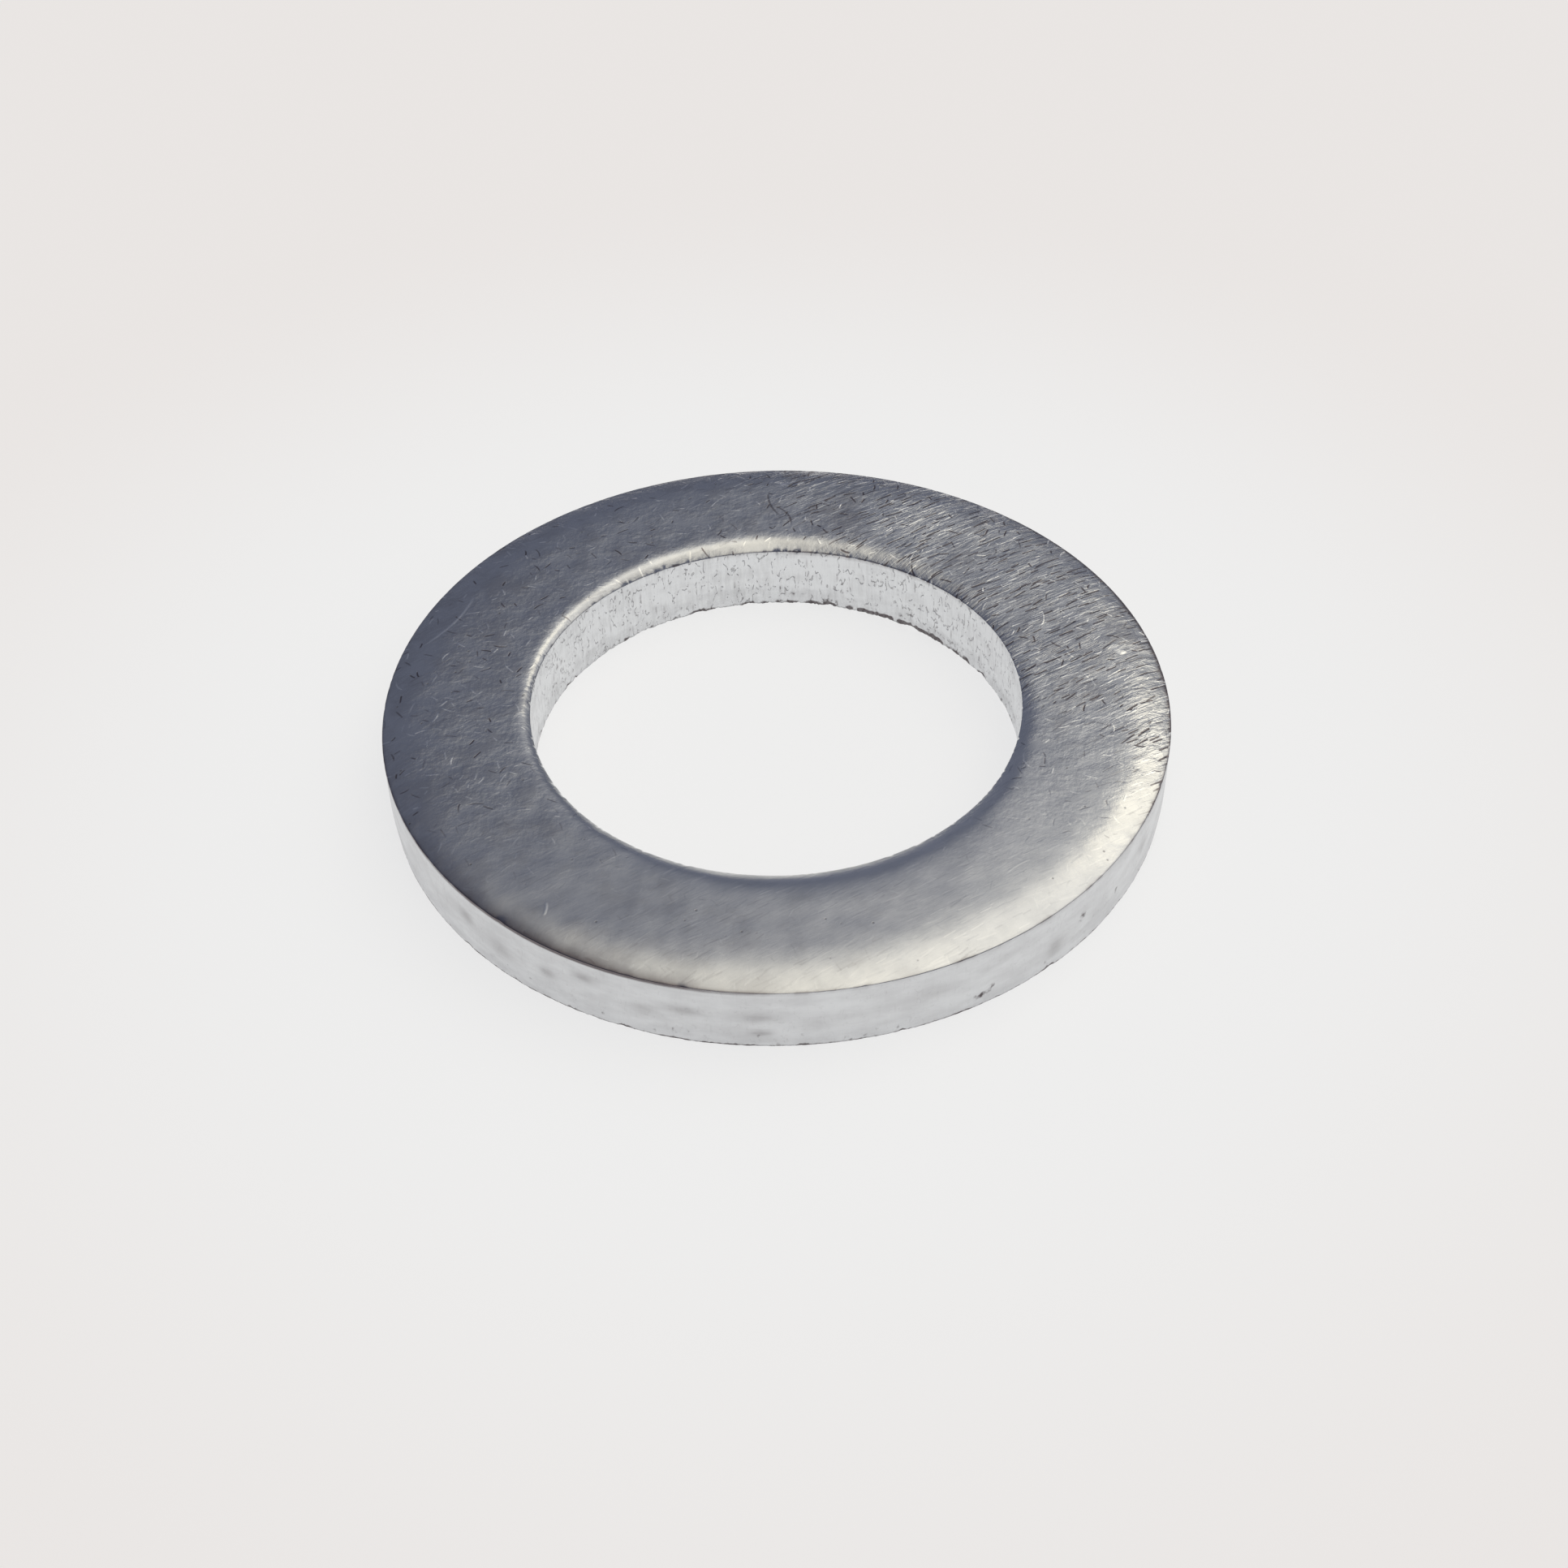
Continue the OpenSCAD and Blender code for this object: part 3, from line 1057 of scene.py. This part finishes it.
# %% [markdown]
# ## The sheared wall
#
# The wall is burnished where the punch rubbed it and torn below. One material does both, because on the
# real wall they run into each other: the fracture value adds rough crumbs to the upright scores. Dirt, and
# along the feet painted contact shade, darken the wall where the vertex value for torn metal is high, and a
# little noise breaks up its border. The bore is the rougher wall, with flecks, holes and thin wavy threads
# of torn metal, and only a trace of them shows outside.

# %% Finish of the walls
WALL_PLAIN, WALL_DULL = (0.77, 0.78, 0.79), (0.16, 0.14, 0.145)
WALL_ROUGHNESS = 0.33
OUTSIDE_SHARE = 0.15  # how much of the bore's roughness the outer wall has


def across_z(tree, place):
    """Distance from the washer's axis, in mm."""
    flat = vector_of(tree, "MULTIPLY", place, (1.0, 1.0, 0.0))
    return vector_of(tree, "LENGTH", flat, output="Value")


def sheared_wall():
    """The finish of both walls: scores, crumbs, flecks, holes, threads and dirt."""
    metal, tree, shader, place = new_finish("sheared_wall")
    in_bore = ramp(tree, across_z(tree, place), mean_r / MM + 0.5, mean_r / MM - 0.5, OUTSIDE_SHARE, 1.0)
    fracture_here = vertex_value(tree, "fracture")
    torn_dirt_and_shade_here = vertex_value(tree, "torn_dirt_and_shade")
    edge_here = vertex_value(tree, "edge")

    score = place_group(tree, clouds, Place=place, Size=0.11, Tall=9.0, Detail=2.0)["Value"]
    crumb = place_group(tree, clouds, Place=place, Size=0.16, Detail=3.0, Shift=20)["Value"]
    smear = place_group(tree, clouds, Place=place, Size=1.3, Tall=0.35, Detail=4.0, Shift=50)["Value"]
    flecks = place_group(
        tree, pits, Place=place, Spacing=0.24, Size=0.24, Tall=5.0, Share=0.45, Shift=3,
    )["Depth"]
    holes = place_group(
        tree, pits, Place=place, Spacing=0.18, Size=0.32, Tall=1.2, Share=0.20, Shift=8,
    )["Depth"]

    wavy = place_group(tree, clouds, Place=place, Size=0.42, Tall=2.2, Detail=2.0, Shift=31)["Value"]
    thread = ramp(tree, math_of(tree, "ABSOLUTE", wavy), 0.16, 0.02)
    thread = product(tree, thread, ramp(tree, crumb, -0.1, 0.4), in_bore)
    fleck_share = product(tree, flecks, in_bore)
    hole_share = product(tree, holes, in_bore)
    crumb_share = product(tree, crumb, fracture_here, in_bore)
    height = total_of(  # in microns
        tree,
        (product(tree, score, in_bore), 4.0),
        (thread, -14.0),
        (crumb_share, 4.0),
        (fleck_share, -12.0),
        (hole_share, -12.0),
        (smear, 2.0),
    )
    add_relief(tree, shader, height)

    broken_up = math_of(tree, "MULTIPLY_ADD", crumb, 0.22, torn_dirt_and_shade_here)
    # dirt, and along the feet painted contact shade
    dirt_and_shade_share = ramp(tree, broken_up, 0.30, 0.95)
    darker = total_of(
        tree,
        (dirt_and_shade_share, 0.85),
        (fleck_share, 0.42),
        (hole_share, 0.45),
        (thread, 0.45),
        (edge_here, 0.60),
        (smear, 0.07),
        (in_bore, -0.14),
        (1.0, 0.18),
        (vertex_value(tree, "tone_and_painted_light"), -1.0),
        (product(tree, fracture_here, in_bore), 0.06),
        (product(tree, score, in_bore), 0.07),
    )
    share = math_of(tree, "ADD", darker, 0.0, clamp=True)
    feed(tree, shader.inputs["Base Color"], mix_colours(tree, share, WALL_PLAIN, WALL_DULL))
    rough = total_of(tree, (fracture_here, 0.10), (dirt_and_shade_share, 0.15), (smear, 0.02))
    feed(tree, shader.inputs["Roughness"], math_of(tree, "ADD", rough, WALL_ROUGHNESS))
    return metal


wall_metal = sheared_wall()
print("the wall has", len(wall_metal.node_tree.nodes), "nodes")

# %% [markdown]
# ## Giving each face its finish
#
# The washer is one mesh with three finishes. Its faces could be picked by their normals, but the zones
# of the section already say which surface each strip of faces belongs to.

# %% Assign the finishes
FINISHES = [top_metal, wall_metal, under_metal]
for finish in FINISHES:
    mesh.materials.append(finish)
finish_of_zone = {name: top_metal for name in zones}
finish_of_zone["under_face"] = under_metal
for name in ("outer_foot", "outer_wall", "bore_wall", "bore_foot"):
    finish_of_zone[name] = wall_metal

slots = np.tile([FINISHES.index(finish_of_zone[name]) for name in zone_of], around)
mesh.polygons.foreach_set("material_index", slots.astype(np.int32))
mesh.update()
for slot, finish in enumerate(FINISHES):
    print(finish.name, "covers", int((slots == slot).sum()), "faces")

# %% [markdown]
# ## The table and the light
#
# The washer lies on a lit white table, so it has almost no shadow and its walls mirror white. A floor
# that glows does the same as a light under frosted glass. Above, the room is a dim blue-grey with five
# soft, warm, round windows of light: a broad one behind on the right with a small bright one inside it,
# one overhead, one behind the onlooker and one low on the right. The flat face mirrors the dim edge
# of the first, and each die roll tips the mirror into one of them, which is why the rims shine. Lamps would
# do it too, but a mirror needs something with a shape to show, and the world can hold it all.

# %% Floor
FLOOR_HALF = 1.0
FLOOR_GLOW = 0.695
FLOOR_GREY = 0.30
GLOW_NEAR, GLOW_FAR = (1.0, 1.0, 1.0), (0.95, 0.91, 0.89)

floor_mesh = bpy.data.meshes.new("floor")
signs = [(-1, -1), (1, -1), (1, 1), (-1, 1)]
floor_corners = [(x * FLOOR_HALF, y * FLOOR_HALF, 0) for x, y in signs]
floor_mesh.from_pydata(floor_corners, [], [(0, 1, 2, 3)])
floor = bpy.data.objects.new("floor", floor_mesh)
bpy.context.scene.collection.objects.link(floor)
table, tree, shader, place = new_finish("lit_table", metallic=0.0)
shader.inputs["Base Color"].default_value = (FLOOR_GREY, FLOOR_GREY, FLOOR_GREY, 1)
shader.inputs["Roughness"].default_value = 0.9
shader.inputs["Specular IOR Level"].default_value = 0.0
away = vector_of(tree, "LENGTH", place, output="Value")
# The glow is painted dimmer and warmer away from the washer, a painted pool of light round it.
fall_off = ramp(tree, away, 1.2 * outer_r / MM, 3.0 * outer_r / MM)
feed(tree, shader.inputs["Emission Color"], mix_colours(tree, fall_off, GLOW_NEAR, GLOW_FAR))
shader.inputs["Emission Strength"].default_value = FLOOR_GLOW
floor_mesh.materials.append(table)
print("the table glows at", FLOOR_GLOW, "and is", 2 * FLOOR_HALF, "m wide")

# %% Light from the room
DIM_ROOM = (0.131, 0.145, 0.196)
BACKDROP = (0.80, 0.78, 0.76, 1)
WINDOWS = [  # azimuth from +Y towards +X, elevation, full within, gone beyond (degrees), colour
    (45.2, 46.7, 0.0, 45.5, (0.633, 0.620, 0.570)),
    (106.4, 82.5, 0.0, 53.6, (0.990, 0.930, 0.755)),
    (37.1, 42.6, 9.0, 12.4, (0.620, 0.563, 0.404)),
    (180.0, 45.0, 8.0, 34.0, (0.560, 0.530, 0.440)),
    (86.0, 31.0, 5.0, 33.0, (0.420, 0.395, 0.330)),
]

world = bpy.data.worlds.new("room")
bpy.context.scene.world = world
world.use_nodes = True
tree = world.node_tree
tree.nodes.clear()
direction = add_node(tree, "TexCoord").outputs["Generated"]
light = DIM_ROOM
for azimuth, elevation, inner, outer, colour in WINDOWS:
    turn = math.radians(azimuth)
    rise = math.radians(elevation)
    toward = (math.sin(turn) * math.cos(rise), math.cos(turn) * math.cos(rise), math.sin(rise))
    angle = math_of(tree, "ARCCOSINE", vector_of(tree, "DOT_PRODUCT", direction, toward, output="Value"))
    bright = ramp(tree, angle, math.radians(outer), math.radians(inner))
    glow = vector_of(tree, "SCALE", colour)
    feed(tree, glow.node.inputs["Scale"], bright)
    light = vector_of(tree, "ADD", light, glow)
room = add_node(tree, "Background")
feed(tree, room.inputs["Color"], light)
backdrop = add_node(tree, "Background")
feed(tree, backdrop.inputs["Color"], BACKDROP)
seen = add_node(tree, "LightPath").outputs["Is Camera Ray"]
both = add_node(tree, "MixShader")
feed(tree, both.inputs[0], seen)
feed(tree, both.inputs[1], room.outputs[0])
feed(tree, both.inputs[2], backdrop.outputs[0])
feed(tree, add_node(tree, "OutputWorld").inputs["Surface"], both.outputs[0])
bpy.context.scene.view_settings.view_transform = "Standard"
print("the room has", len(WINDOWS), "windows")
